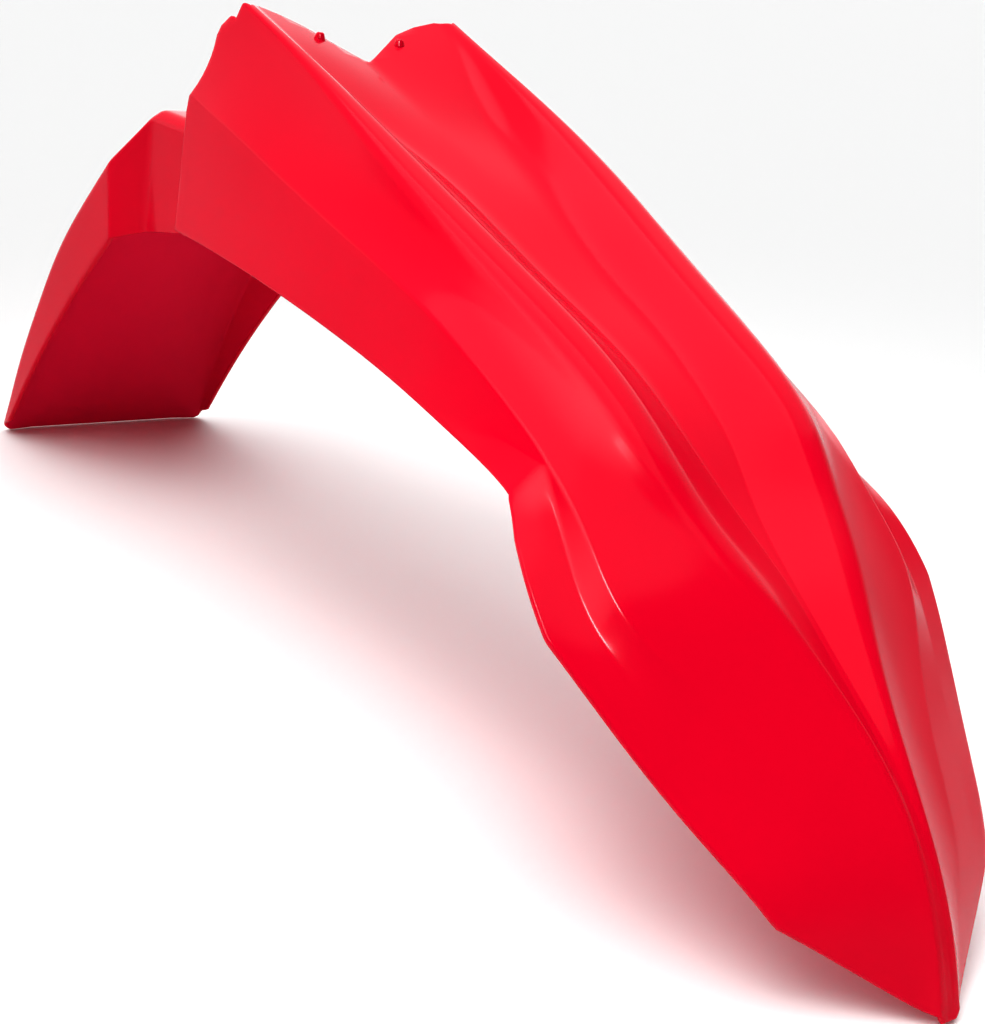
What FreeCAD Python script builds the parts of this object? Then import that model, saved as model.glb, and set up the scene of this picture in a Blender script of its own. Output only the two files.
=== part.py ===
import FreeCAD, Part
import math
import os
import Sketcher

# Millimetres. X points forward to the tip, Y to the left side of the motorcycle and Z up.
# The origin is the middle of the four clamp bolts, on the face that meets the fork clamp.
doc = FreeCAD.newDocument("mudguard")
dims = doc.addObject("Spreadsheet::Sheet", "dims")

# Cross-sections of the blade, from behind its rear edge to past its tip. Each lies in a plane
# through the crest line that leans forward by its pitch. Halves are measured from the middle
# plane, and drops downward from the crest. The land is the level strip outside the crest, and
# the scoop is the hollow of the face between the land and the shoulder.
columns = (
    "x", "z", "pitch", "keel_drop", "base_half", "base_drop", "crest_half", "land", "scoop",
    "shoulder_half", "shoulder_drop", "valley_half", "valley_drop", "foot_half", "foot_drop",
)
frames = {
    "stern": (25, 86, 0, 17, 60, 1.5, 65, 4.5, 0.6, 78, 61.5, 78.7, 120, 79.2, 155),
    "cowl": (110, 60, 7, 16.5, 52, 6, 60, 5.5, 1.2, 82, 51, 83, 94, 84, 125),
    "crown": (165, 42, 11, 15.5, 39, 15, 56.5, 10.5, 1.8, 83.5, 45.5, 85.5, 79, 87, 109),
    "back": (230, 17.5, 16, 13.5, 27, 13.5, 52, 16, 2, 85.5, 35, 88, 62, 90, 91),
    "middle": (300, -10.5, 20, 14, 20, 14, 44, 17.5, 1.8, 87, 23, 90, 47, 94, 73),
    "waist": (360, -35.5, 26, 12, 15, 12, 40, 16.5, 1.5, 85.5, 20.5, 90.5, 33, 101, 58),
    "kink": (394, -55, 33, 12.5, 12, 12.5, 39.5, 13.5, 1.4, 85, 18, 86.3, 19.8, 106, 40),
    "flare": (422, -78, 40, 11, 6, 11, 35, 10, 1.2, 84.5, 15.4, 90.5, 23, 118, 30.5),
    "corner": (450, -99.5, 40, 8, 2, 8, 26, 9, 1.2, 83.3, 16.7, 93.5, 24.8, 123, 33),
    "brow": (481, -124.5, 40, 5, 1.6, 5, 14.5, 6, 1.2, 64, 17, 82, 24.5, 110, 35.5),
    "cheek": (515.5, -154, 40, 1.5, 1.6, 1.5, 5.5, 3, 0.8, 42, 14.5, 66, 24.5, 94, 36),
    "beak": (542, -184, 40, 0.3, 1.5, 0.3, 3.2, 2, 0.5, 30, 11.5, 48, 19, 80, 32),
    "bill": (559, -214, 40, 0.2, 1.5, 0.2, 3, 2.5, 0.3, 16, 7, 28, 13, 55, 27),
    "end": (574, -255, 40, 0.2, 1.5, 0.2, 3, 2.5, 0.3, 12, 5, 24, 12, 48, 25),
}

# Cross-sections of the saddle under the fork clamp and of the flap behind the wheel. Each lies
# in a plane through the rim of its side walls, and rises are measured up from that rim.
saddle_columns = (
    "x", "z", "pitch", "panel_half", "panel_rise", "edge_half", "edge_rise", "rim_half", "rim_rise",
)
saddle_frames = {
    "saddle_front": (60, -52, 0, 73, 52, 78, 47, 78, 0),
    "recess_front": (50, -54, 0, 73, 54, 78, 49, 78, 0),
    "neck_front": (34, -57, 0, 55, 57, 60, 52, 60, 0),
    "neck_end": (-30, -70, 0, 55, 70, 60, 65, 60, 0),
    "flap_top": (-43, -77, -13, 53, 49.5, 74, 44.5, 75, 0),
}
flap_frames = {
    "flap_top": saddle_frames["flap_top"],
    "flap_high": (-77, -111, -45, 53, 41, 74, 36.5, 75, 0),
    "flap_middle": (-117, -155, -50, 53, 32, 74, 27.5, 75, 0),
    "flap_low": (-150, -197, -60, 53, 21.5, 74, 17.5, 75, 0),
    "flap_end": (-180, -240, -88, 53, 8, 74, 5, 75, 0),
}

sizes = {
    "wall": 3.2,
    # Reach of the rounding each side of a crease, and the most of a short face that it may take.
    "crease_cut": 4.5,
    "crease_share": 0.4,
    # Reach of the cutting outlines past the part.
    "margin": 150,
    # Lower edge of the skirts, as seen from the side.
    "skirt_rear_x": 46,
    "skirt_rear_z": -53,
    "skirt_kink_x": 377,
    "skirt_kink_z": -83,
    "skirt_radius": 1570,
    "skirt_flare_radius": 250,
    "skirt_corner_x": 430,
    "skirt_corner_z": -123,
    "skirt_run_x": 500,
    "skirt_run_z": -225,
    # Outline of the nose, in a plane that leans down from the flare corners to the tip.
    "nose_pitch": 40,
    "nose_lead_run": -67,
    "nose_lead_half": 98.5,
    "nose_lead_radius": 150,
    "nose_corner_run": 0,
    "nose_corner_half": 113,
    "nose_cheek_run": 127,
    "nose_cheek_half": 63.5,
    "nose_side_radius": 900,
    "nose_tip_run": 181,
    "nose_tip_half": 3,
    # Rear end of the blade: fork clearance, lugs, prongs and the notch between the prongs.
    "fork_arc_low_z": 17,
    "fork_arc_high_x": 57,
    "fork_arc_high_z": 55,
    "fork_arc_radius": 42,
    "lug_top_x": 62,
    "lug_top_z": 60.5,
    "lug_radius": 6,
    "lug_end_z": 65.5,
    "prong_x": 69,
    "prong_half": 69,
    "crest_end_x": 76,
    "crest_end_half": 64,
    "prong_corner_half": 55,
    "prong_inner_half": 34,
    "notch_x": 93,
    "notch_half": 0.8,
    # Wall that closes the blade in front of the clamp.
    "bulkhead_x": 50,
    "bulkhead_rise": 40,
    # Rounded lower corners of the flap.
    "flap_corner_half": 76,
    "flap_corner_z": -242,
    "flap_corner_radius": 12,
    # Clamp bolts and the bosses round them.
    "bolt_spacing_x": 40,
    "bolt_spacing_y": 70,
    "bolt_hole": 6.5,
    "boss_width": 18,
    "boss_height": 3,
    # Locating pips on the prongs.
    "pip_x": 83,
    "pip_y": 25,
    "pip_z": 54.5,
    "pip_base_radius": 3.4,
    "pip_top_radius": 1.8,
    "pip_height": 4.2,
}

for names, table in ((columns, frames), (saddle_columns, saddle_frames), (saddle_columns, flap_frames)):
    for frame, row in table.items():
        for column, number in zip(names, row):
            sizes[frame + "_" + column] = number
for line, (name, number) in enumerate(sizes.items(), 1):
    dims.set("A%d" % line, name)
    dims.set("B%d" % line, str(number))
    dims.setAlias("B%d" % line, name)
doc.recompute()


def size(expression):
    return float(dims.evalExpression(expression))


def blade_side(frame):
    # Outer skin across one half of a blade frame, from the keel to the foot of the side wall.
    # Each point has the kind of its corner.
    def at(part, kind):
        half = size("dims.%s_%s_half" % (frame, part))
        return half, -size("dims.%s_%s_drop" % (frame, part)), kind

    crest = size("dims.%s_crest_half" % frame)
    land = crest + size("dims.%s_land" % frame)
    shoulder = at("shoulder", "bevel")
    fall = FreeCAD.Vector(shoulder[0] - land, shoulder[1], 0)
    inward = FreeCAD.Vector(fall.y, -fall.x, 0).normalize()
    # A parabola reaches half as far as its middle pole.
    pole = FreeCAD.Vector(land, 0, 0) + fall / 2 + inward * 2 * size("dims.%s_scoop" % frame)
    return [
        (0, -size("dims.%s_keel_drop" % frame), "sharp"),
        at("base", "sharp"), (crest, 0, "round"), (land, 0, "bevel"), (pole.x, pole.y, "hollow"),
        shoulder, at("valley", "bevel"), at("foot", "sharp"),
    ]


def saddle_side(frame):
    # Outer skin across one half of a saddle or flap frame, from the top panel to the rim.
    return [(size("dims.%s_%s_half" % (frame, part)), size("dims.%s_%s_rise" % (frame, part)), kind)
            for part, kind in (("panel", "sharp"), ("edge", "bevel"), ("rim", "sharp"))]


def both_sides(side):
    other = [(-half, height, kind) for half, height, kind in reversed(side) if half > 0]
    return other + side


def turn_in(points, depth):
    # The same line moved by the depth towards the inside of the blade.
    moved = []
    for index, point in enumerate(points):
        normals = []
        for start in (index - 1, index):
            if 0 <= start < len(points) - 1:
                along = (points[start + 1] - points[start]).normalize()
                normals.append(FreeCAD.Vector(along.y, -along.x, 0))
        middle = normals[0] + normals[-1]
        moved.append(point + middle * (depth / middle.dot(normals[0])))
    return moved


def pieces_along(points, kinds, cut):
    # Poles of the pieces along the points: lines, a short parabola at each round corner, a short
    # line across each bevel and one wide parabola over each hollow.
    pieces = []
    run = [points[0]]
    for before, corner, after, kind in zip(points, points[1:], points[2:], kinds[1:]):
        if kind == "hollow":
            run.append(corner)
        elif kind == "sharp" or cut == 0:
            pieces.append(run + [corner])
            run = [corner]
        else:
            back = before - corner
            ahead = after - corner
            reach = min(cut, size("dims.crease_share") * min(back.Length, ahead.Length))
            entry = corner + back.normalize() * reach
            leave = corner + ahead.normalize() * reach
            pieces += [run + [entry], [entry, corner, leave] if kind == "round" else [entry, leave]]
            run = [leave]
    return pieces + [run + [points[-1]]]


def ring(frame, side, depth, inner):
    # Closed ring of pieces in the plane of one frame, at a depth under the outer skin. With an
    # inner depth it returns along that line with sharp corners, otherwise straight across.
    pitch = math.radians(size("dims.%s_pitch" % frame))
    origin = FreeCAD.Vector(size("dims.%s_x" % frame), 0, size("dims.%s_z" % frame))
    up = FreeCAD.Vector(math.sin(pitch), 0, math.cos(pitch))
    corners = both_sides(side(frame))
    kinds = [kind for half, height, kind in corners]
    flat = [FreeCAD.Vector(half, height, 0) for half, height, kind in corners]

    def placed(depth_here):
        return [origin + FreeCAD.Vector(0, point.x, 0) + up * point.y
                for point in turn_in(flat, depth_here)]

    out = placed(depth)
    pieces = pieces_along(out, kinds, size("dims.crease_cut"))
    last = out[-1]
    if inner:
        home = placed(inner)[::-1]
        pieces += [[last, home[0]]] + pieces_along(home, kinds[::-1], 0)
        last = home[-1]
    return pieces + [[last, out[0]]]


def piece_face(pieces, stations):
    # Face swept through the same piece of every frame, smooth along the part.
    rows = []
    for points in zip(*pieces):
        curve = Part.BSplineCurve()
        curve.interpolate(Points=list(points), Parameters=stations)
        rows.append(curve.getPoles())
    ends = [len(rows), len(rows)]
    surface = Part.BSplineSurface()
    surface.buildFromPolesMultsKnots(
        rows, ends, curve.getMultiplicities(), [0, 1], curve.getKnots(),
        False, False, len(rows) - 1, curve.Degree)
    return surface.toShape()


def piece_edge(poles):
    curve = Part.BezierCurve()
    curve.setPoles(poles)
    return curve.toShape()


def closed_solid(name, faces, rings):
    # Solid inside the faces and the flat ends that close the first and last rings.
    for pieces in (rings[0], rings[-1]):
        faces.append(Part.Face(Part.Wire([piece_edge(poles) for poles in pieces])))
    shell = Part.makeShell(faces)
    shell.sewShape()
    solid = Part.makeSolid(shell)
    if solid.Volume < 0:
        solid.reverse()
    feature = doc.addObject("Part::Feature", name)
    feature.Shape = solid
    return feature


def smooth_sweep(name, table, side, depth, inner):
    rings = [ring(frame, side, depth, inner) for frame in table]
    stations = [0.0]
    for frame, following in zip(list(table), list(table)[1:]):
        step = [size("dims.%s_%s - dims.%s_%s" % (following, axis, frame, axis)) for axis in "xz"]
        stations.append(stations[-1] + math.hypot(step[0], step[1]))
    faces = [piece_face(pieces, stations) for pieces in zip(*rings)]
    return closed_solid(name, faces, rings)


def ruled_sweep(name, table, side, depth, inner):
    rings = [ring(frame, side, depth, inner) for frame in table]
    faces = []
    for near, far in zip(rings, rings[1:]):
        for start, stop in zip(near, far):
            loop = Part.makePolygon(start + stop[::-1] + start[:1])
            flat = loop.findPlane()
            faces.append(Part.Face(loop) if flat else
                         Part.makeRuledSurface(piece_edge(start), piece_edge(stop)))
    return closed_solid(name, faces, rings)


def outline(body, name, plane, corners, arcs):
    # Closed sketch through corners given as expressions. Arcs gives, by the number of its first
    # corner, the radius of a curved side and whether it turns left (1) or right (-1).
    sketch = body.newObject("Sketcher::SketchObject", name)
    support = [item for item in body.Origin.OriginFeatures if item.Role == plane][0]
    sketch.AttachmentSupport = [(support, "")]
    sketch.MapMode = "FlatFace"
    points = [FreeCAD.Vector(size(across), size(up), 0) for across, up in corners]
    sides = []
    for number, start in enumerate(points):
        stop = points[(number + 1) % len(points)]
        if number in arcs:
            radius = size(arcs[number][0])
            chord = stop - start
            height = math.sqrt(radius ** 2 - (chord.Length / 2) ** 2)
            left = FreeCAD.Vector(-chord.y, chord.x, 0).normalize()
            centre = (start + stop) / 2 + left * height * arcs[number][1]
            circle = Part.Circle(centre, FreeCAD.Vector(0, 0, 1), radius)
            ends = [circle.parameter(start), circle.parameter(stop)][::arcs[number][1]]
            side = sketch.addGeometry(Part.ArcOfCircle(circle, ends[0], ends[1]))
            sides.append((side, (1, 2)[::arcs[number][1]]))
        else:
            side = sketch.addGeometry(Part.LineSegment(start, stop))
            sides.append((side, (1, 2)))
    for number, (side, ends) in enumerate(sides):
        following, following_ends = sides[(number + 1) % len(sides)]
        sketch.addConstraint(
            Sketcher.Constraint("Coincident", side, ends[1], following, following_ends[0]))
        for kind, expression in zip(("DistanceX", "DistanceY"), corners[number]):
            row = sketch.addConstraint(
                Sketcher.Constraint(kind, -1, 1, side, ends[0], size(expression)))
            sketch.setExpression("Constraints[%d]" % row, expression)
        if number in arcs:
            row = sketch.addConstraint(
                Sketcher.Constraint("Radius", side, size(arcs[number][0])))
            sketch.setExpression("Constraints[%d]" % row, arcs[number][0])
    return sketch


def cut_through(body, sketch, name):
    pocket = body.newObject("PartDesign::Pocket", name)
    pocket.Profile = sketch
    pocket.SideType = "Symmetric"
    pocket.Type = "ThroughAll"
    doc.recompute()
    return pocket


# Thin moulded blade: a channel between two crests, and shoulders falling to the side walls.
wall = size("dims.wall")
blade_skin = smooth_sweep("blade_skin", frames, blade_side, 0, wall)
blade = doc.addObject("PartDesign::Body", "blade")
blade.BaseFeature = blade_skin
doc.recompute()

skirt_outline = outline(blade, "skirt_outline", "XZ_Plane", [
    ("dims.skirt_rear_x - dims.margin", "dims.skirt_rear_z"),
    ("dims.skirt_rear_x", "dims.skirt_rear_z"),
    ("dims.skirt_kink_x", "dims.skirt_kink_z"),
    ("dims.skirt_corner_x", "dims.skirt_corner_z"),
    ("dims.skirt_run_x", "dims.skirt_run_z"),
    ("dims.skirt_run_x", "dims.skirt_run_z - dims.margin"),
    ("dims.skirt_rear_x - dims.margin", "dims.skirt_run_z - dims.margin"),
], {1: ("dims.skirt_radius", -1), 2: ("dims.skirt_flare_radius", -1)})
cut_through(blade, skirt_outline, "skirt_trim")

nose_outline = outline(blade, "nose_outline", "XY_Plane", [
    ("dims.nose_lead_run", "dims.nose_lead_half"),
    ("dims.nose_corner_run", "dims.nose_corner_half"),
    ("dims.nose_cheek_run", "dims.nose_cheek_half"),
    ("dims.nose_tip_run", "dims.nose_tip_half"),
    ("dims.nose_tip_run", "-dims.nose_tip_half"),
    ("dims.nose_cheek_run", "-dims.nose_cheek_half"),
    ("dims.nose_corner_run", "-dims.nose_corner_half"),
    ("dims.nose_lead_run", "-dims.nose_lead_half"),
    ("dims.nose_lead_run", "-dims.nose_lead_half - dims.margin"),
    ("dims.nose_tip_run + dims.margin", "-dims.nose_lead_half - dims.margin"),
    ("dims.nose_tip_run + dims.margin", "dims.nose_lead_half + dims.margin"),
    ("dims.nose_lead_run", "dims.nose_lead_half + dims.margin"),
], {
    0: ("dims.nose_lead_radius", -1),
    1: ("dims.nose_side_radius", -1),
    5: ("dims.nose_side_radius", -1),
    6: ("dims.nose_lead_radius", -1),
})
nose_outline.AttachmentOffset = FreeCAD.Placement(
    FreeCAD.Vector(0, 0, 0), FreeCAD.Rotation(FreeCAD.Vector(0, 1, 0), 1))
nose_outline.setExpression("AttachmentOffset.Base.x", "dims.skirt_corner_x")
nose_outline.setExpression("AttachmentOffset.Base.z", "dims.skirt_corner_z")
nose_outline.setExpression("AttachmentOffset.Rotation.Angle", "dims.nose_pitch")
cut_through(blade, nose_outline, "nose_trim")

fork_outline = outline(blade, "fork_outline", "XZ_Plane", [
    ("dims.skirt_rear_x", "-dims.margin"),
    ("dims.skirt_rear_x", "dims.fork_arc_low_z"),
    ("dims.fork_arc_high_x", "dims.fork_arc_high_z"),
    ("dims.lug_top_x", "dims.lug_top_z"),
    ("dims.prong_x", "dims.lug_end_z"),
    ("dims.prong_x", "dims.margin"),
    ("dims.skirt_rear_x - dims.margin", "dims.margin"),
    ("dims.skirt_rear_x - dims.margin", "-dims.margin"),
], {1: ("dims.fork_arc_radius", 1), 2: ("dims.lug_radius", -1)})
cut_through(blade, fork_outline, "fork_trim")

prong_outline = outline(blade, "prong_outline", "XY_Plane", [
    ("dims.skirt_rear_x - dims.margin", "dims.prong_half"),
    ("dims.prong_x", "dims.prong_half"),
    ("dims.crest_end_x", "dims.crest_end_half"),
    ("dims.prong_x", "dims.prong_corner_half"),
    ("dims.prong_x", "dims.prong_inner_half"),
    ("dims.notch_x", "dims.notch_half"),
    ("dims.notch_x", "-dims.notch_half"),
    ("dims.prong_x", "-dims.prong_inner_half"),
    ("dims.prong_x", "-dims.prong_corner_half"),
    ("dims.crest_end_x", "-dims.crest_end_half"),
    ("dims.prong_x", "-dims.prong_half"),
    ("dims.skirt_rear_x - dims.margin", "-dims.prong_half"),
], {})
cut_through(blade, prong_outline, "prong_trim")

# Saddle that bolts under the fork clamp, running into the flap behind the wheel.
saddle_skin = ruled_sweep("saddle_skin", saddle_frames, saddle_side, 0, wall)
flap_skin = smooth_sweep("flap_skin", flap_frames, saddle_side, 0, wall)
flap = doc.addObject("PartDesign::Body", "flap")
flap.BaseFeature = flap_skin
doc.recompute()

flap_outline = outline(flap, "flap_outline", "YZ_Plane", [
    ("-dims.flap_corner_half", "dims.flap_corner_z + dims.flap_corner_radius"),
    ("dims.flap_corner_radius - dims.flap_corner_half", "dims.flap_corner_z"),
    ("dims.flap_corner_half - dims.flap_corner_radius", "dims.flap_corner_z"),
    ("dims.flap_corner_half", "dims.flap_corner_z + dims.flap_corner_radius"),
    ("dims.margin", "dims.flap_corner_z + dims.flap_corner_radius"),
    ("dims.margin", "dims.flap_corner_z - dims.margin"),
    ("-dims.margin", "dims.flap_corner_z - dims.margin"),
    ("-dims.margin", "dims.flap_corner_z + dims.flap_corner_radius"),
], {0: ("dims.flap_corner_radius", 1), 2: ("dims.flap_corner_radius", 1)})
cut_through(flap, flap_outline, "flap_trim")

# Wall that rises from the front of the saddle to the underside of the channel.
blade_core = smooth_sweep("blade_core", frames, blade_side, wall / 2, 0)
bulkhead_slab = doc.addObject("Part::Box", "bulkhead_slab")
bulkhead_slab.setExpression("Length", "dims.margin")
bulkhead_slab.setExpression("Width", "dims.margin * 2")
bulkhead_slab.setExpression("Height", "dims.wall")
bulkhead_slab.Placement = FreeCAD.Placement(
    FreeCAD.Vector(0, 0, 0), FreeCAD.Rotation(FreeCAD.Vector(0, 1, 0), -1))
bulkhead_slab.setExpression("Placement.Base.x", "dims.bulkhead_x")
bulkhead_slab.setExpression("Placement.Base.y", "-dims.margin")
bulkhead_slab.setExpression("Placement.Base.z", "-dims.wall")
bulkhead_slab.setExpression("Placement.Rotation.Angle", "-dims.bulkhead_rise")
bulkhead = doc.addObject("Part::Common", "bulkhead")
bulkhead.Base = bulkhead_slab
bulkhead.Tool = blade_core

# Small tapered pips that locate the panel above the prongs.
pips = []
for label, sign in (("left", ""), ("right", "-")):
    pip = doc.addObject("Part::Cone", "pip_" + label)
    pip.setExpression("Radius1", "dims.pip_base_radius")
    pip.setExpression("Radius2", "dims.pip_top_radius")
    pip.setExpression("Height", "dims.pip_height")
    pip.setExpression("Placement.Base.x", "dims.pip_x")
    pip.setExpression("Placement.Base.y", sign + "dims.pip_y")
    pip.setExpression("Placement.Base.z", "dims.pip_z")
    pips.append(pip)

moulding = doc.addObject("Part::MultiFuse", "moulding")
moulding.Shapes = [blade, saddle_skin, flap, bulkhead] + pips
doc.recompute()

# Bosses under the saddle and the four holes for the clamp bolts.
mudguard = doc.addObject("PartDesign::Body", "front_mudguard")
mudguard.BaseFeature = moulding
doc.recompute()


def bolt_circles(name, width):
    sketch = mudguard.newObject("Sketcher::SketchObject", name)
    support = [item for item in mudguard.Origin.OriginFeatures if item.Role == "XY_Plane"][0]
    sketch.AttachmentSupport = [(support, "")]
    sketch.MapMode = "FlatFace"
    for across in ("", "-"):
        for along in ("", "-"):
            centre = [along + "dims.bolt_spacing_x / 2", across + "dims.bolt_spacing_y / 2"]
            place = FreeCAD.Vector(size(centre[0]), size(centre[1]), 0)
            circle = sketch.addGeometry(
                Part.Circle(place, FreeCAD.Vector(0, 0, 1), size(width) / 2))
            for kind, expression in zip(("DistanceX", "DistanceY"), centre):
                row = sketch.addConstraint(
                    Sketcher.Constraint(kind, -1, 1, circle, 3, size(expression)))
                sketch.setExpression("Constraints[%d]" % row, expression)
            row = sketch.addConstraint(Sketcher.Constraint("Diameter", circle, size(width)))
            sketch.setExpression("Constraints[%d]" % row, width)
    return sketch


bosses = mudguard.newObject("PartDesign::Pad", "bosses")
bosses.Profile = bolt_circles("boss_circles", "dims.boss_width")
bosses.Reversed = True
bosses.setExpression("Length", "dims.wall + dims.boss_height")
bolt_holes = cut_through(mudguard, bolt_circles("hole_circles", "dims.bolt_hole"), "bolt_holes")

mudguard.Label = "front_mudguard"
doc.recompute()
for item in doc.Objects:
    if "Invalid" in item.State or "Error" in item.State:
        raise RuntimeError("%s is not up to date" % item.Name)
    if hasattr(item, "Shape") and item.isDerivedFrom("Part::Feature"):
        if item.Shape.isNull() or not item.Shape.isValid():
            raise RuntimeError("%s has no valid shape" % item.Name)
if len(mudguard.Shape.Solids) != 1:
    raise RuntimeError("the mudguard is not one solid")
os.makedirs("parts", exist_ok=True)
mudguard.Shape.exportStep("parts/front_mudguard.step")
print("front_mudguard", round(mudguard.Shape.Volume), len(mudguard.Shape.Faces))
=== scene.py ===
import math
import bmesh
import bpy
import numpy as np
from mathutils import Matrix, Vector


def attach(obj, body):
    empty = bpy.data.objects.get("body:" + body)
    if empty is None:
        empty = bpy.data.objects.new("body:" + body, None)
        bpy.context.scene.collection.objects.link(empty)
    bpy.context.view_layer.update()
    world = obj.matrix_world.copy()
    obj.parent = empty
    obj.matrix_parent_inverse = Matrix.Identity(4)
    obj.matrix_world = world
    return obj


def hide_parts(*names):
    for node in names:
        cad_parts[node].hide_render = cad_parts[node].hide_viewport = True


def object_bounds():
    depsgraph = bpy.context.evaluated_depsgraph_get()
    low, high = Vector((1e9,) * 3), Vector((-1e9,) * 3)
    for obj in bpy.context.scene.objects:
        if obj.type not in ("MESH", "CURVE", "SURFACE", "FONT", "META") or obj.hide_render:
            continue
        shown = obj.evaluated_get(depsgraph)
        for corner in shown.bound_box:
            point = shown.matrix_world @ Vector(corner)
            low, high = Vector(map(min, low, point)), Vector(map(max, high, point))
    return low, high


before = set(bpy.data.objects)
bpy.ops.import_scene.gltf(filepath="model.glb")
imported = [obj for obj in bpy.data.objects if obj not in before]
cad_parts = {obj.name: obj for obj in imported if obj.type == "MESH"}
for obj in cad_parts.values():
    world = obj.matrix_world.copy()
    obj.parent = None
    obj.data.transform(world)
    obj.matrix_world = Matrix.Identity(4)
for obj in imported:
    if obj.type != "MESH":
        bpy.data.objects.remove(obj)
cadBox = [list(corner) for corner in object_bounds()]
floorHeight = cadBox[0][2]
mm = 0.001  # tables are in millimetres, the scene in metres
print("frame loaded, lowest point", round(floorHeight, 4))


def unit(vectors):
    return vectors / np.linalg.norm(vectors, axis=-1, keepdims=True)


def curveThrough(stations, values):
    # cubic through every station, with no jump in curvature for a highlight to catch on
    stations = np.asarray(stations, float)
    values = np.asarray(values, float)
    count = len(stations)
    gap = np.diff(stations)
    slope = np.diff(values, axis=0) / gap.reshape(-1, *[1] * (values.ndim - 1))
    table = np.eye(count)
    right = np.zeros_like(values)
    for row in range(1, count - 1):
        table[row, row - 1:row + 2] = gap[row - 1], 2 * (gap[row - 1] + gap[row]), gap[row]
        right[row] = 6 * (slope[row] - slope[row - 1])
    bow = np.linalg.solve(table, right.reshape(count, -1)).reshape(values.shape)

    def at(places):
        places = np.asarray(places, float)
        cell = np.clip(np.searchsorted(stations, places) - 1, 0, count - 2)
        shape = (-1, *[1] * (values.ndim - 1))
        width = gap[cell].reshape(shape)
        after = (places - stations[cell]).reshape(shape)
        before = width - after
        bulge = (bow[cell] * (before ** 3 / width - width * before)
                 + bow[cell + 1] * (after ** 3 / width - width * after)) / 6
        return bulge + (values[cell] * before + values[cell + 1] * after) / width

    return at


def arcOver(start, stop, radius):
    # height of a shallow arc that arches above its chord, as a function of the first coordinate
    start, stop = np.array(start, float), np.array(stop, float)
    chord = stop - start
    length = np.hypot(*chord)
    rise = math.sqrt(radius ** 2 - (length / 2) ** 2)
    centre = (start + stop) / 2 + np.array([chord[1], -chord[0]]) / length * rise

    def at(places):
        return centre[1] + np.sqrt(np.maximum(radius ** 2 - (places - centre[0]) ** 2, 0))

    return at


def turnIn(points, depth):
    # the same open line moved sideways by the depth, with mitred corners
    along = unit(np.diff(points, axis=0))
    normals = np.stack([along[:, 1], -along[:, 0]], 1)
    first = np.vstack([normals[:1], normals])
    second = np.vstack([normals, normals[-1:]])
    middle = first + second
    return points + middle * (depth / np.sum(middle * first, axis=1))[:, None]


def softLines(skins, reaches, spans, turns, share=0.4, least=0.1):
    # samples along the same line on the outer and inner skin: straight spans, a parabola at each
    # corner with a reach, and one wide parabola where the reach is None. The inner corners open or
    # close with the wall, so that each inner sample lies straight under its outer one.
    outer = skins[0]
    samples = [[] for skin in skins]
    starts, poles, span = [skin[0] for skin in skins], None, 0

    def addSpan(stops):
        for step in np.linspace(0, 1, spans[span], endpoint=False):
            for skin, (start, stop) in enumerate(zip(starts, stops)):
                bow = 0 if poles is None else 2 * step * (1 - step) * (poles[skin] - (start + stop) / 2)
                samples[skin].append(start + (stop - start) * step + bow)

    for number in range(1, len(outer) - 1):
        if reaches[number] is None:
            poles = [skin[number] for skin in skins]
            continue
        sides = [outer[number - 1] - outer[number], outer[number + 1] - outer[number]]
        room = share * np.minimum(*[np.linalg.norm(side, axis=-1) for side in sides])
        reach = np.minimum(reaches[number], room)
        ends = []
        for neighbour, side in zip((number - 1, number + 1), sides):
            end = []
            for skin in skins:
                slip = np.sum((skin[number] - outer[number]) * unit(side), axis=-1)
                stretch = np.maximum(reach - slip, least)[..., None]
                end.append(skin[number] + unit(skin[neighbour] - skin[number]) * stretch)
            ends.append(end)
        addSpan(ends[0])
        for step in np.linspace(0, 1, turns[number], endpoint=False):
            for skin, (entry, leave) in enumerate(zip(*ends)):
                corner = skins[skin][number]
                pull = corner * 2 * step * (1 - step)
                samples[skin].append(entry * (1 - step) ** 2 + pull + leave * step ** 2)
        starts, poles, span = ends[1], None, span + 1
    addSpan([skin[-1] for skin in skins])
    return [np.stack(line + [skin[-1]], axis=-2) for line, skin in zip(samples, skins)]


def gridSheet(outer, inner):
    # one vertex holds its place on the outer skin and, beside it, on the inner skin
    rows, across = outer.shape[:2]
    points = np.concatenate([outer, inner], axis=2).reshape(-1, 6)
    faces = []
    for row in range(rows - 1):
        for column in range(across - 1):
            corner = row * across + column
            faces.append((corner, corner + across, corner + across + 1, corner + 1))
    return points, faces


def trimSheet(points, faces, keep, snapShare=0.22):
    # cuts the sheet along keep() = 0, and slides vertices that are almost there onto the cut
    points = points.copy()
    value = keep(points[:, :3])
    nearest = {}
    for face in faces:
        for a, b in zip(face, face[1:] + face[:1]):
            if value[a] * value[b] < 0:
                for near, far in ((a, b), (b, a)):
                    part = value[near] / (value[near] - value[far])
                    if part < snapShare and part < nearest.get(near, (1,))[0]:
                        nearest[near] = part, points[near] + part * (points[far] - points[near])
    for vertex, (part, place) in nearest.items():
        points[vertex] = place
        value[vertex] = 0
    added, made, kept = [], {}, []
    for face in faces:
        if min(value[list(face)]) >= 0:
            kept.append(face)
        elif max(value[list(face)]) > 0:
            loop = []
            for a, b in zip(face, face[1:] + face[:1]):
                if value[a] >= 0:
                    loop.append(a)
                if value[a] * value[b] < 0:
                    edge = (min(a, b), max(a, b))
                    if edge not in made:
                        made[edge] = len(points) + len(added)
                        part = value[a] / (value[a] - value[b])
                        added.append(points[a] + part * (points[b] - points[a]))
                    loop.append(made[edge])
            if len(loop) > 2:
                kept.append(tuple(loop))
    return np.vstack([points] + added), kept


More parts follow.
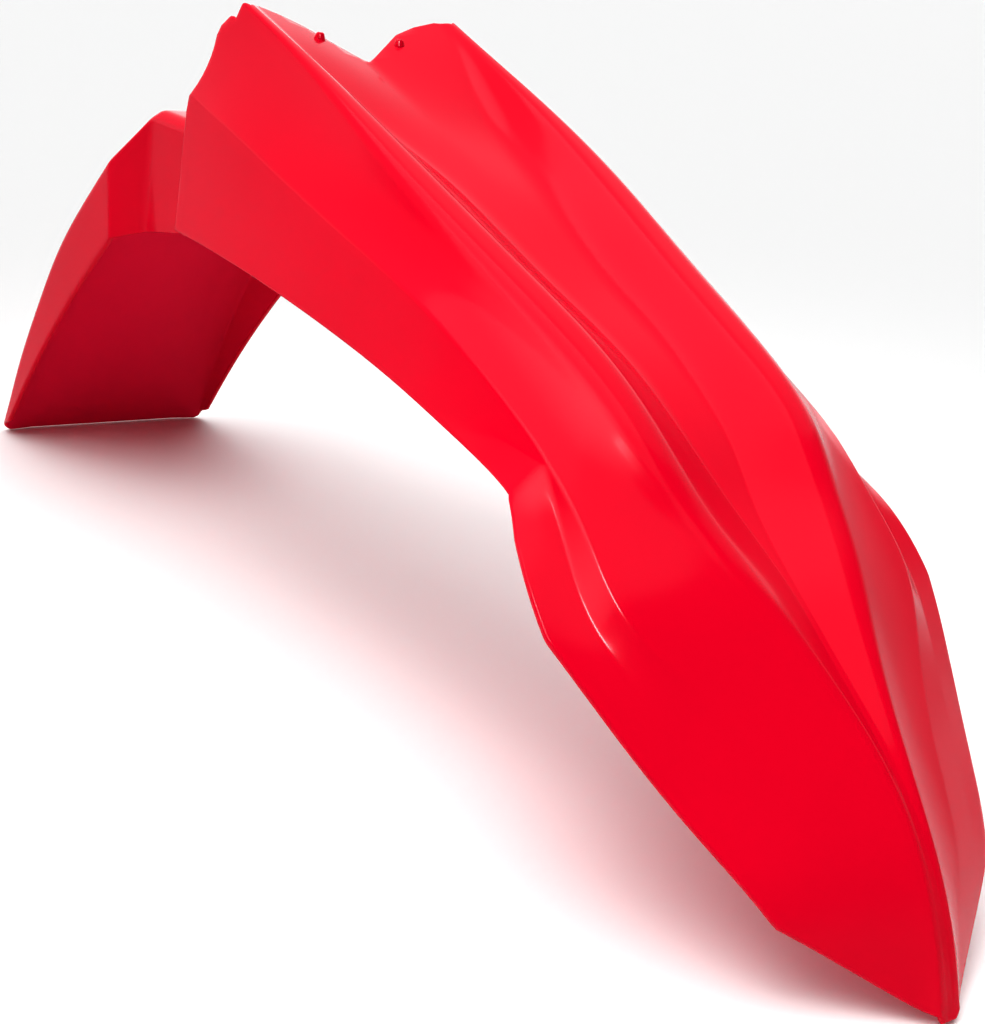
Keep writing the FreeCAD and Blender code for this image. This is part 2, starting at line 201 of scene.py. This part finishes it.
def moulding(name, points, faces, rimRound, rimSteps=3):
    # closes the sheet into a wall: outer skin, inner skin and a rim with both edges rounded off
    used = sorted({vertex for face in faces for vertex in face})
    number = {vertex: place for place, vertex in enumerate(used)}
    points = points[used]
    faces = [tuple(number[vertex] for vertex in face) for face in faces]
    count = len(points)
    outer, inner = points[:, :3], points[:, 3:]
    edges = {(a, b) for face in faces for a, b in zip(face, face[1:] + face[:1])}
    following = {a: b for a, b in edges if (b, a) not in edges}
    leading = {b: a for a, b in following.items()}
    vertices = [outer, inner]
    ladder = {}
    total = 2 * count
    for vertex, ahead in following.items():
        inward = unit(inner[vertex] - outer[vertex])
        outward = unit(np.cross(outer[ahead] - outer[leading[vertex]], -inward))
        places = []
        for side, sign in ((outer[vertex], 1), (inner[vertex], -1)):
            angles = np.linspace(0, math.pi / 2, rimSteps + 1)[1:][::sign]
            for angle in angles:
                depth = inward * sign * (1 - math.cos(angle))
                places.append(side + rimRound * (depth + outward * math.sin(angle)))
        vertices.append(np.array(places))
        ladder[vertex] = [vertex, *range(total, total + len(places)), vertex + count]
        total += len(places)
    loops = list(faces) + [tuple(vertex + count for vertex in reversed(face)) for face in faces]
    under = [0] * len(faces) + [1] * len(faces)
    for a, b in following.items():
        for step in range(len(ladder[a]) - 1):
            loops.append((ladder[b][step], ladder[a][step], ladder[a][step + 1], ladder[b][step + 1]))
            under.append(0)
    return addMesh(name, np.vstack(vertices), loops, under)


def linear(code):
    # sRGB hex to linear colour
    parts = [int(code[place:place + 2], 16) / 255 for place in (1, 3, 5)]
    return [part / 12.92 if part <= 0.04045 else ((part + 0.055) / 1.055) ** 2.4 for part in parts] + [1]


def addNode(material, kind, settings={}, values={}, links={}):
    node = material.node_tree.nodes.new(kind)
    for name, value in settings.items():
        setattr(node, name, value)
    for socket, value in values.items():
        node.inputs[socket].default_value = value
    for socket, (source, output) in links.items():
        material.node_tree.links.new(source.outputs[output], node.inputs[socket])
    return node


def newMaterial(name):
    material = bpy.data.materials.new(name)
    material.use_nodes = True
    material.node_tree.nodes.clear()
    return material


# red injection-moulded polypropylene with a polished outer face: a deep even colour, a clear but weak
# gloss, a faint waviness in the reflections and slightly cloudy patches where the melt flowed
plastic = {
    "red": "#D2002F", "flowRed": "#CA002B", "flowPatch": 90,
    "waveCell": 16, "waveDepth": 0.03,  # orange peel, 2 mm across, drawn eight times as coarse to show
    "gloss": (0.11, 0.16), "glossPatch": 35,
    "ior": 1.49, "glossSpecular": 0.1, "dullSpecular": 0.05,
    "grainCell": 2.4, "grainDepth": 0.06,  # spark-eroded grain, drawn three times as coarse to show
    # underside colour and its flow patches: painted shade, tinted to look like the shaded inside
    "dull": (0.42, 0.55), "shadeTintRed": "#E01A48", "shadeTintFlowRed": "#D61643",
    "noiseRange": (0.3, 0.7),  # where most of a noise's values lie
}
glossRed = newMaterial("injectionMouldedPolypropylene")
coordinates = addNode(glossRed, "ShaderNodeTexCoord")
flow = addNode(glossRed, "ShaderNodeTexNoise",
               values={"Scale": 1 / (plastic["flowPatch"] * mm), "Detail": 2.0, "Roughness": 0.5},
               links={"Vector": (coordinates, "Object")})
tint = addNode(glossRed, "ShaderNodeMix", {"data_type": "RGBA"},
               values={6: linear(plastic["red"]), 7: linear(plastic["flowRed"])}, links={0: (flow, 0)})
haze = addNode(glossRed, "ShaderNodeTexNoise",
               values={"Scale": 1 / (plastic["glossPatch"] * mm), "Detail": 3.0, "Roughness": 0.6},
               links={"Vector": (coordinates, "Object")})
sheen = addNode(glossRed, "ShaderNodeMapRange",
                values={"From Min": plastic["noiseRange"][0], "From Max": plastic["noiseRange"][1],
                        "To Min": plastic["gloss"][0], "To Max": plastic["gloss"][1]},
                links={"Value": (haze, 0)})
waves = addNode(glossRed, "ShaderNodeTexNoise",
                values={"Scale": 1 / (plastic["waveCell"] * mm), "Detail": 1.0, "Roughness": 0.4},
                links={"Vector": (coordinates, "Object")})
peel = addNode(glossRed, "ShaderNodeBump",
               values={"Strength": 1.0, "Distance": plastic["waveDepth"] * mm},
               links={"Height": (waves, 0)})
shader = addNode(glossRed, "ShaderNodeBsdfPrincipled",
                 values={"IOR": plastic["ior"], "Specular IOR Level": plastic["glossSpecular"]},
                 links={"Base Color": (tint, 2), "Roughness": (sheen, 0), "Normal": (peel, 0)})
addNode(glossRed, "ShaderNodeOutputMaterial", links={"Surface": (shader, "BSDF")})

# the same plastic on the hidden side, moulded against a spark-eroded face: a dull grain without
# reflections;
# its colour, a little cooler and lighter than the polished face's, is painted shade, the tint of the
# shaded inside
underRed = newMaterial("polypropyleneUnderside")
below = addNode(underRed, "ShaderNodeTexCoord")
grain = addNode(underRed, "ShaderNodeTexNoise",
                values={"Scale": 1 / (plastic["grainCell"] * mm), "Detail": 2.0, "Roughness": 0.5},
                links={"Vector": (below, "Object")})
patches = addNode(underRed, "ShaderNodeTexNoise",
                  values={"Scale": 1 / (plastic["flowPatch"] * mm), "Detail": 2.0, "Roughness": 0.5},
                  links={"Vector": (below, "Object")})
shade = addNode(underRed, "ShaderNodeMix", {"data_type": "RGBA"},
                values={6: linear(plastic["shadeTintRed"]), 7: linear(plastic["shadeTintFlowRed"])},
                links={0: (patches, 0)})
dull = addNode(underRed, "ShaderNodeMapRange",
               values={"From Min": plastic["noiseRange"][0], "From Max": plastic["noiseRange"][1],
                       "To Min": plastic["dull"][0], "To Max": plastic["dull"][1]},
               links={"Value": (grain, 0)})
rough = addNode(underRed, "ShaderNodeBump",
                values={"Strength": 1.0, "Distance": plastic["grainDepth"] * mm},
                links={"Height": (grain, 0)})
lower = addNode(underRed, "ShaderNodeBsdfPrincipled",
                values={"IOR": plastic["ior"], "Specular IOR Level": plastic["dullSpecular"]},
                links={"Base Color": (shade, 2), "Roughness": (dull, 0), "Normal": (rough, 0)})
addNode(underRed, "ShaderNodeOutputMaterial", links={"Surface": (lower, "BSDF")})
print("plastic ready")


def addMesh(name, vertices, loops, under=None):
    # under says of each face whether it is polished, 0, or on the hidden side, 1
    mesh = bpy.data.meshes.new(name)
    mesh.from_pydata([tuple(place) for place in vertices * mm], [], loops)
    if under is not None:
        mesh.materials.append(glossRed)
        mesh.materials.append(underRed)
        mesh.polygons.foreach_set("material_index", under)
    mesh.update()
    piece = bpy.data.objects.new(name, mesh)
    bpy.context.scene.collection.objects.link(piece)
    return piece


# blade: a channel between two crests, with scooped shoulders that fall to the side walls
blade = {
    "wall": 3.2,
    "rimRound": 1.0,
    "sharpDeg": 40,  # edges that turn more than this stay crisp
    "rowStep": 3.0,
    # each section lies across the blade in a plane through the crest line that leans by its pitch;
    # halves are measured from the middle plane and drops from the crest
    "columns": ("x", "z", "pitch", "keelDrop", "baseHalf", "baseDrop", "crestHalf", "land", "scoop",
                "shoulderHalf", "shoulderDrop", "valleyHalf", "valleyDrop", "footHalf", "footDrop"),
    "sections": {
        "stern": (25, 86, 0, 17, 60, 1.5, 65, 4.5, 0.6, 78, 61.5, 78.7, 120, 79.2, 155),
        "cowl": (110, 60, 7, 16.5, 52, 6, 60, 5.5, 1.2, 82, 51, 83, 94, 84, 125),
        "crown": (165, 42, 11, 15.5, 39, 15, 56.5, 10.5, 1.8, 83.5, 45.5, 85.5, 79, 87, 109),
        "back": (230, 17.5, 16, 13.5, 27, 13.5, 52, 16, 2, 85.5, 35, 88, 62, 90, 91),
        "middle": (300, -10.5, 20, 14, 20, 14, 44, 17.5, 1.8, 87, 23, 90, 47, 94, 73),
        "waist": (360, -35.5, 26, 12, 15, 12, 40, 16.5, 1.5, 85.5, 20.5, 90.5, 33, 101, 58),
        "kink": (394, -55, 33, 12.5, 12, 12.5, 39.5, 13.5, 1.4, 85, 18, 86.3, 19.8, 106, 40),
        "flare": (422, -78, 40, 11, 6, 11, 35, 10, 1.2, 84.5, 15.4, 90.5, 23, 118, 30.5),
        "corner": (450, -99.5, 40, 8, 2, 8, 26, 9, 1.2, 83.3, 16.7, 93.5, 24.8, 123, 33),
        "brow": (481, -124.5, 40, 5, 1.6, 5, 14.5, 6, 1.2, 64, 17, 82, 24.5, 110, 35.5),
        "cheek": (515.5, -154, 40, 1.5, 1.6, 1.5, 5.5, 3, 0.8, 42, 14.5, 66, 24.5, 94, 36),
        "beak": (542, -184, 40, 0.3, 1.5, 0.3, 3.2, 2, 0.5, 30, 11.5, 48, 19, 80, 32),
        "bill": (559, -214, 40, 0.2, 1.5, 0.2, 3, 2.5, 0.3, 16, 7, 28, 13, 55, 27),
        "end": (574, -255, 40, 0.2, 1.5, 0.2, 3, 2.5, 0.3, 12, 5, 24, 12, 48, 25),
    },
    # rounding each side of a crease, from the keel to the foot; the edge of the channel's floor has its
    # own list, and the scoop is one wide parabola
    "reaches": (5, None, 4.5, 9, None, 1.4, 1.4, 0),
    # the edge of the channel's floor sharpens from soft to a crease towards the tip, by section
    "floorReaches": (8, 8, 8, 8, 8, 6, 2, 1, 1, 1.2, 1.5, 1.5, 1.5, 1.5), "floorGuides": (6, 8),
    # the side wall breaks outwards into the flare along a crease, at this section
    "creaseSection": 6, "creasedGuides": (0, 1, -2, -1),
    "spans": (4, 5, 3, 10, 6, 14),
    "turns": (4, 4, 5, 5, 0, 5, 4, 0),
    # outlines that the blade is trimmed to
    "skirtRear": (46, -53), "skirtKink": (377, -83), "skirtRadius": 1570,
    "skirtCorner": (430, -123), "flareRadius": 250, "skirtRun": (500, -225),
    "nosePitch": 40,
    "noseLead": (-67, 98.5), "leadRadius": 150, "leadSlope": 2, "noseCorner": (0, 113), "sideRadius": 900,
    "noseCheek": (127, 63.5), "noseTip": (181, 3),
    "forkLow": (46, 17), "forkHigh": (57, 55), "forkRadius": 42,
    "lugTop": (62, 60.5), "lugEnd": (69, 65.5),
    # rear edge in plan, from the middle of the notch outwards: halves, then how far forward it lies
    "prongHalves": (0.8, 34, 55, 64, 69, 70), "prongEnds": (93, 69, 69, 76, 69, 0),
}


def bladeSections():
    # guide points of each section on the outer and inner skin, in the part's frame
    outer, inner, stations = [], [], [0.0]
    previous = None
    for row in blade["sections"].values():
        at = dict(zip(blade["columns"], row))
        land = at["crestHalf"] + at["land"]
        fall = np.array([at["shoulderHalf"] - land, -at["shoulderDrop"]])
        inward = unit(np.array([fall[1], -fall[0]]))
        pole = np.array([land, 0]) + fall / 2 + inward * 2 * at["scoop"]
        side = np.array([
            (0, -at["keelDrop"]), (at["baseHalf"], -at["baseDrop"]), (at["crestHalf"], 0), (land, 0), pole,
            (at["shoulderHalf"], -at["shoulderDrop"]), (at["valleyHalf"], -at["valleyDrop"]),
            (at["footHalf"], -at["footDrop"]),
        ])
        line = np.vstack([side[:0:-1] * (-1, 1), side])
        lean = math.radians(at["pitch"])
        for skin, depth in ((outer, 0), (inner, blade["wall"])):
            across, rise = turnIn(line, depth).T
            x, z = at["x"] + rise * math.sin(lean), at["z"] + rise * math.cos(lean)
            skin.append(np.stack([x, across, z], 1))
        here = np.array([at["x"], at["z"]])
        if previous is not None:
            stations.append(stations[-1] + np.hypot(*(here - previous)))
        previous = here
    return stations, np.array(outer), np.array(inner)


def bothWays(values, middle=1):
    # settings for one half of a section, repeated the other way round for the other half; the first one
    # belongs to the middle and isn't repeated, unless middle is 0
    return tuple(values[middle:][::-1]) + tuple(values)


def bladeSheet():
    stations, *guides = bladeSections()
    places = np.linspace(stations[0], stations[-1], int(stations[-1] / blade["rowStep"]))
    middle = blade["creaseSection"]
    behind = places < stations[middle]
    skins = []
    for points in guides:
        lines = curveThrough(stations, points)(places)
        for number in blade["creasedGuides"]:
            rearRun = curveThrough(stations[:middle + 1], points[:middle + 1, number])
            frontRun = curveThrough(stations[middle:], points[middle:, number])
            lines[behind, number] = rearRun(places[behind])
            lines[~behind, number] = frontRun(places[~behind])
        skins.append([lines[:, number] for number in range(lines.shape[1])])
    reaches = list(bothWays(blade["reaches"]))
    for number in blade["floorGuides"]:
        reaches[number] = np.interp(places, stations, blade["floorReaches"])
    skins = softLines(skins, reaches, bothWays(blade["spans"], 0), bothWays(blade["turns"]))
    points, faces = gridSheet(*skins)
    for keep in bladeTrims():
        points, faces = trimSheet(points, faces, keep)
    return points, faces


def bladeTrims():
    # what stays is where each function is positive; the rim's rounding is left outside the cut
    inset = blade["rimRound"]
    upper = arcOver(blade["skirtRear"], blade["skirtKink"], blade["skirtRadius"])
    flare = arcOver(blade["skirtKink"], blade["skirtCorner"], blade["flareRadius"])
    lead = arcOver(blade["noseLead"], blade["noseCorner"], blade["leadRadius"])
    side = arcOver(blade["noseCorner"], blade["noseCheek"], blade["sideRadius"])
    fork = arcOver(blade["forkLow"][::-1], blade["forkHigh"][::-1], blade["forkRadius"])
    lean = math.radians(blade["nosePitch"])

    def skirt(place):
        x, z = place[:, 0], place[:, 2]
        corner, run = blade["skirtCorner"], blade["skirtRun"]
        front = corner[1] + (x - corner[0]) * (run[1] - corner[1]) / (run[0] - corner[0])
        edge = np.where(x < corner[0], flare(x), front)
        edge = np.where(x < blade["skirtKink"][0], upper(x), edge)
        edge = np.where(x < blade["skirtRear"][0], blade["skirtRear"][1], edge)
        return z - edge - inset

    def noseRun(place):
        return ((place[:, 0] - blade["skirtCorner"][0]) * math.cos(lean)
                - (place[:, 2] - blade["skirtCorner"][1]) * math.sin(lean))

    def noseSide(place):
        run = noseRun(place)
        cheek, tip = blade["noseCheek"], blade["noseTip"]
        point = cheek[1] + (run - cheek[0]) * (tip[1] - cheek[1]) / (tip[0] - cheek[0])
        before = blade["noseLead"][1] + (blade["noseLead"][0] - run) * blade["leadSlope"]
        edge = np.where(run < 0, lead(run), np.where(run < cheek[0], side(run), point))
        edge = np.where(run < blade["noseLead"][0], before, edge)
        return edge - np.abs(place[:, 1]) - inset

    def noseEnd(place):
        return blade["noseTip"][0] - noseRun(place) - inset

    def rear(place):
        z = place[:, 2]
        lugs = [blade[name] for name in ("forkHigh", "lugTop", "lugEnd")]
        heights = [height for run, height in lugs]
        edge = np.where(z < heights[0], fork(z), np.interp(z, heights, [run for run, height in lugs]))
        edge = np.where(z < blade["forkLow"][1], blade["forkLow"][0], edge)
        return place[:, 0] - edge - inset

    def prongs(place):
        edge = np.interp(np.abs(place[:, 1]), blade["prongHalves"], blade["prongEnds"])
        return place[:, 0] - edge - inset

    return rear, prongs, skirt, noseSide, noseEnd


# saddle under the fork clamp, which runs into the flap behind the wheel
saddle = {
    "wall": 3.2,
    "rimRound": 1.0,
    # x, z and pitch of the rim, then half and rise of the panel's edge, of the corner and of the rim
    "sections": {
        "saddleFront": (60, -52, 0, 73, 52, 78, 47, 78, 0),
        "recessFront": (50, -54, 0, 73, 54, 78, 49, 78, 0),
        "neckFront": (34, -57, 0, 55, 57, 60, 52, 60, 0),
        "neckEnd": (-30, -70, 0, 55, 70, 60, 65, 60, 0),
        "flapTop": (-43, -77, -13, 53, 49.5, 74, 44.5, 75, 0),
        "flapHigh": (-77, -111, -45, 53, 41, 74, 36.5, 75, 0),
        "flapMiddle": (-117, -155, -50, 53, 32, 74, 27.5, 75, 0),
        "flapLow": (-150, -197, -60, 53, 21.5, 74, 17.5, 75, 0),
        "flapEnd": (-180, -240, -88, 53, 8, 74, 5, 75, 0),
    },
    "straight": 4,  # sections before the flap starts to curve
    "reaches": (0, 4.5, 4, 4, 4.5, 0),
    "spans": (14, 5, 16, 5, 14),
    "turns": (0, 5, 3, 3, 5, 0),
    # rounding along the part at each straight section, and the samples in and between the corners
    "creases": (0, 2.5, 4, 5, 5), "rowTurns": (0, 3, 4, 5, 4), "rowSpans": (4, 5, 16, 6),
    "flapRows": 60,
    "cornerHalf": 76, "cornerHeight": -242, "cornerRadius": 12,
}


def saddleSheet():
    outer, inner = [], []
    rims = []
    for x, z, pitch, panel, panelRise, edge, edgeRise, rim, rimRise in saddle["sections"].values():
        line = np.array([(-rim, rimRise), (-edge, edgeRise), (-panel, panelRise),
                         (panel, panelRise), (edge, edgeRise), (rim, rimRise)], float)
        lean = math.radians(pitch)
        rims.append((x, z))
        for skin, depth in ((outer, 0), (inner, saddle["wall"])):
            across, rise = turnIn(line, depth).T
            skin.append(np.stack([x + rise * math.sin(lean), across, z + rise * math.cos(lean)], 1))
    first = saddle["straight"]
    stations = np.concatenate([[0], np.cumsum(np.linalg.norm(np.diff(rims[first:], axis=0), axis=1))])
    places = np.linspace(0, stations[-1], saddle["flapRows"])
    skins = []
    for guides in (np.array(outer), np.array(inner)):
        flap = curveThrough(stations, guides[first:])(places)
        lines = np.concatenate([guides[:first], flap])
        skins.append([lines[:, number] for number in range(lines.shape[1])])
    skins = softLines(skins, saddle["reaches"], saddle["spans"], saddle["turns"])
    rows = [list(skin) for skin in skins]
    plain = len(rows[0]) - first - 1
    skins = softLines(rows, saddle["creases"] + (0,) * plain, saddle["rowSpans"] + (2,) * plain,
                      saddle["rowTurns"] + (1,) * plain)
    # rows run backwards from the blade, so they are turned round to face outwards
    points, faces = gridSheet(*[np.swapaxes(skin, 0, 1)[::-1] for skin in skins])
    return trimSheet(points, faces, flapCorners)


def flapCorners(place):
    # distance inside the flap's outline, seen from behind, with rounded lower corners
    radius = saddle["cornerRadius"]
    beside = np.abs(place[:, 1]) - saddle["cornerHalf"] + radius
    below = saddle["cornerHeight"] + radius - place[:, 2]
    return np.where((beside > 0) & (below > 0) & (place[:, 0] < 0),
                    radius - np.hypot(beside, below), radius) - saddle["rimRound"]


print("skins")
bladeShell = moulding("bladeShell", *bladeSheet(), blade["rimRound"])
saddleShell = moulding("saddleShell", *saddleSheet(), saddle["rimRound"])
print("blade faces", len(bladeShell.data.polygons), "saddle faces", len(saddleShell.data.polygons))


def join(base, other, operation):
    change = base.modifiers.new(operation, "BOOLEAN")
    change.operation = operation
    change.solver = "EXACT"
    change.object = other
    bpy.context.view_layer.update()
    shaped = base.evaluated_get(bpy.context.evaluated_depsgraph_get())
    mesh = bpy.data.meshes.new_from_object(shaped)
    base.modifiers.clear()
    base.data = mesh
    bpy.data.objects.remove(other)


def turned(name, profile, place, side, segments=48):
    # solid of revolution about an upright axis, from (radius, height) pairs listed from the bottom up;
    # side is 0 for a polished piece and 1 for one on the hidden side
    angles = np.linspace(0, 2 * math.pi, segments, endpoint=False)
    rings = [np.stack([radius * np.cos(angles), radius * np.sin(angles), np.full(segments, height)], 1)
             for radius, height in profile]
    loops = [tuple(range(segments))[::-1], tuple(range(len(profile) * segments)[-segments:])]
    for ring in range(len(profile) - 1):
        for number in range(segments):
            corner, beside = ring * segments + number, ring * segments + (number + 1) % segments
            loops.append((corner, beside, beside + segments, corner + segments))
    return addMesh(name, np.vstack(rings) + np.array(place), loops, [side] * len(loops))


# bulkhead: a flat wall that closes the blade in front of the clamp
bulkhead = {
    "foot": 50, "riseDeg": 40, "wall": 3.2,
    "reach": 120, "half": 120,  # before it is cut to the blade
    "coreSection": 3, "coreRows": 60,  # last blade section that the cut needs, and samples up to it
}


def bladeCore():
    # solid that fills the blade up to the middle of its wall
    stations, outer, inner = bladeSections()
    places = np.linspace(stations[0], stations[bulkhead["coreSection"]], bulkhead["coreRows"])
    lines = curveThrough(stations, (outer + inner) / 2)(places)
    rows, across = lines.shape[:2]
    loops = [tuple(range(across)), tuple(range(rows * across)[-across:])[::-1]]
    for row in range(rows - 1):
        for column in range(across):
            corner, beside = row * across + column, row * across + (column + 1) % across
            loops.append((corner, corner + across, beside + across, beside))
    return addMesh("bladeCore", lines.reshape(-1, 3), loops, [0] * len(loops))


def bulkheadSlab():
    lean = math.radians(bulkhead["riseDeg"])
    along = np.array([math.cos(lean), 0, math.sin(lean)])
    across = np.array([-math.sin(lean), 0, math.cos(lean)])
    foot = np.array([bulkhead["foot"], 0, -bulkhead["wall"]])
    sideways = np.array([0, bulkhead["half"], 0])
    corners = [foot + sideways * side + along * bulkhead["reach"] * far + across * rise
               for rise in (0, bulkhead["wall"]) for side, far in ((-1, 0), (1, 0), (1, 1), (-1, 1))]
    loops = [(0, 1, 2, 3), (7, 6, 5, 4), (0, 4, 5, 1), (1, 5, 6, 2), (2, 6, 7, 3), (3, 7, 4, 0)]
    return addMesh("bulkheadWall", np.array(corners), loops, [0] * len(loops))


# clamp bosses under the saddle with their bolt holes, and the locating pips on the prongs
fixings = {
    "bolts": (20, 35), "holeRadius": 3.25, "holeChamfer": 0.5,
    "boreOver": 2,  # how far the drill reaches past both ends
    "bossRadius": 9, "bossFoot": -6.2, "bossTop": -1, "bossRound": 1.0, "bossCut": 0.3,
    "pip": (83, 25, 54.5), "pipRadii": (3.6, 1.9), "pipHeight": 6.0,
    "pipTop": ((0.3, 0.9), (-0.1, 0.3), (-0.7, 0)),  # rounding: past the top radius, below the top
}


def addFixings(body):
    radius, foot, ease = fixings["bossRadius"], fixings["bossFoot"], fixings["bossRound"]
    cut = fixings["bossCut"] * ease
    boss = [(radius - ease, foot), (radius - cut, foot + cut), (radius, foot + ease),
            (radius, fixings["bossTop"])]
    hole, chamfer, over = fixings["holeRadius"], fixings["holeChamfer"], fixings["boreOver"]
    bore = [(hole + over, foot - over), (hole + chamfer, foot), (hole, foot + chamfer),
            (hole, -chamfer), (hole + chamfer, 0), (hole + over, over)]
    low, top = fixings["pipRadii"]
    pip = [(low, 0)] + [(top + wider, fixings["pipHeight"] - below) for wider, below in fixings["pipTop"]]
    for side in (1, -1):
        x, y, z = fixings["pip"]
        join(body, turned("pip", pip, (x, y * side, z), 0, segments=32), "UNION")
        for end in (1, -1):
            place = (fixings["bolts"][0] * end, fixings["bolts"][1] * side, 0)
            join(body, turned("boss", boss, place, 1), "UNION")
            join(body, turned("bore", bore, place, 1), "DIFFERENCE")


def mendSeams(mesh, merge=0.002):
    # three-sided faces throughout, with the points that almost coincide where two walls meet merged
    shape = bmesh.new()
    shape.from_mesh(mesh)
    bmesh.ops.triangulate(shape, faces=shape.faces)
    bmesh.ops.remove_doubles(shape, verts=shape.verts, dist=merge * mm)
    shape.to_mesh(mesh)
    shape.free()


mudguard = bladeShell
join(mudguard, saddleShell, "UNION")
wall = bulkheadSlab()
join(wall, bladeCore(), "INTERSECT")
join(mudguard, wall, "UNION")
addFixings(mudguard)
mendSeams(mudguard.data)
mudguard.name = "mouldedMudguard"
mudguard.data.shade_smooth()
mudguard.data.set_sharp_from_angle(angle=math.radians(blade["sharpDeg"]))
print("mudguard faces", len(mudguard.data.polygons))

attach(mudguard, "root")
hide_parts("front_mudguard")

# studio: a bright ceiling, a pale backdrop behind, a softbox above the near side, and a strip that shows
# only as the thin highlights on the creases of the flare
studio = {
    "floorHalf": 60000, "floorColour": "#EAEAEA", "floorRoughness": 0.9, "floorSpecular": 0.1,
    # pale wall all round that fades upwards: sines of the heights where the fade starts and ends
    "skyColour": "#FFFFFF", "skyFade": (0.17, 0.42), "skyStrengths": (0.7, 0.1),
    "viewGamma": 0.75,  # deepens the middle tones
    # broad soft lights: bearing from straight ahead and height in degrees, width in degrees, strength
    "softLights": {
        "ceilingLight": {"bearing": 0, "height": 90, "spread": 60, "strength": 1.6},
        "backdropLight": {"bearing": 165, "height": 42, "spread": 120, "strength": 2.2},
    },
    # softboxes: middle, point aimed at, direction of the long side, sides, beam in degrees, power, and
    # whether they light the surface or only show in its reflections
    "softboxes": {
        "nearSoftbox": {"place": (420, -560, 660), "aim": (350, -60, -40), "along": (1, 0, 0),
                        "sides": (900, 900), "beam": 60, "watts": 2.3, "inDiffuse": True},
        "creaseStrip": {"place": (953, -608, 930), "aim": (425, -88, -100), "along": (509, 138, -191),
                        "sides": (440, 110), "beam": 180, "watts": 22, "inDiffuse": False},
    },
}
corners = [(x * studio["floorHalf"], y * studio["floorHalf"], floorHeight / mm)
           for x, y in ((-1, -1), (1, -1), (1, 1), (-1, 1))]
floor = addMesh("floor", np.array(corners), [(0, 1, 2, 3)])
# matt painted floor: pale and even, almost without reflections
paleFloor = newMaterial("paleStudioFloor")
floorShader = addNode(paleFloor, "ShaderNodeBsdfPrincipled",
                      values={"Base Color": linear(studio["floorColour"]),
                              "Roughness": studio["floorRoughness"],
                              "Specular IOR Level": studio["floorSpecular"]})
addNode(paleFloor, "ShaderNodeOutputMaterial", links={"Surface": (floorShader, "BSDF")})
floor.data.materials.append(paleFloor)


def addLamp(name, kind, settings, place, aim, along):
    lamp = bpy.data.objects.new(name, bpy.data.lights.new(name, kind))
    for setting, value in settings.items():
        setattr(lamp.data, setting, value)
    back = (Vector(place) - Vector(aim)).normalized()
    side = Vector(along).cross(back).normalized()
    lamp.location = Vector(place) * mm
    lamp.rotation_euler = Matrix((-side.cross(back), -side, back)).transposed().to_euler()
    bpy.context.scene.collection.objects.link(lamp)
    return lamp


for name, light in studio["softLights"].items():
    bearing, height = math.radians(light["bearing"]), math.radians(light["height"])
    source = (math.cos(height) * math.cos(bearing), math.cos(height) * math.sin(bearing), math.sin(height))
    settings = {"energy": light["strength"], "angle": math.radians(light["spread"])}
    addLamp(name, "SUN", settings, source, (0, 0, 0), (0, 1, 0))
for name, box in studio["softboxes"].items():
    length, width = [side * mm for side in box["sides"]]
    settings = {"energy": box["watts"], "shape": "RECTANGLE", "size": length, "size_y": width,
                "spread": math.radians(box["beam"])}
    lamp = addLamp(name, "AREA", settings, box["place"], box["aim"], box["along"])
    lamp.visible_diffuse = box["inDiffuse"]
sky = bpy.data.worlds.new("studioSky")
sky.use_nodes = True
sky.node_tree.nodes.clear()
outlook = addNode(sky, "ShaderNodeTexCoord")
upward = addNode(sky, "ShaderNodeSeparateXYZ", links={0: (outlook, "Generated")})
fade = addNode(sky, "ShaderNodeMapRange",
               values={"From Min": studio["skyFade"][0], "From Max": studio["skyFade"][1],
                       "To Min": studio["skyStrengths"][0], "To Max": studio["skyStrengths"][1]},
               links={"Value": (upward, "Z")})
backdrop = addNode(sky, "ShaderNodeBackground", values={"Color": linear(studio["skyColour"])},
                   links={"Strength": (fade, 0)})
addNode(sky, "ShaderNodeOutputWorld", links={"Surface": (backdrop, 0)})
bpy.context.scene.world = sky
bpy.context.scene.view_settings.view_transform = "Standard"
bpy.context.scene.view_settings.gamma = studio["viewGamma"]
print("studio ready")

# camera, placed and turned as the photograph's was
view = {"place": (886.5, -524.9, 136.4), "turnDeg": (70.79, -8.10, 53.28), "lens": 61.52, "sensor": 36}
camera = bpy.data.objects.new("camera", bpy.data.cameras.new("camera"))
camera.location = [part * mm for part in view["place"]]
camera.rotation_euler = [math.radians(turn) for turn in view["turnDeg"]]
camera.data.lens = view["lens"]
camera.data.sensor_width = view["sensor"]
bpy.context.scene.collection.objects.link(camera)
bpy.context.scene.camera = camera

print("scene ready")
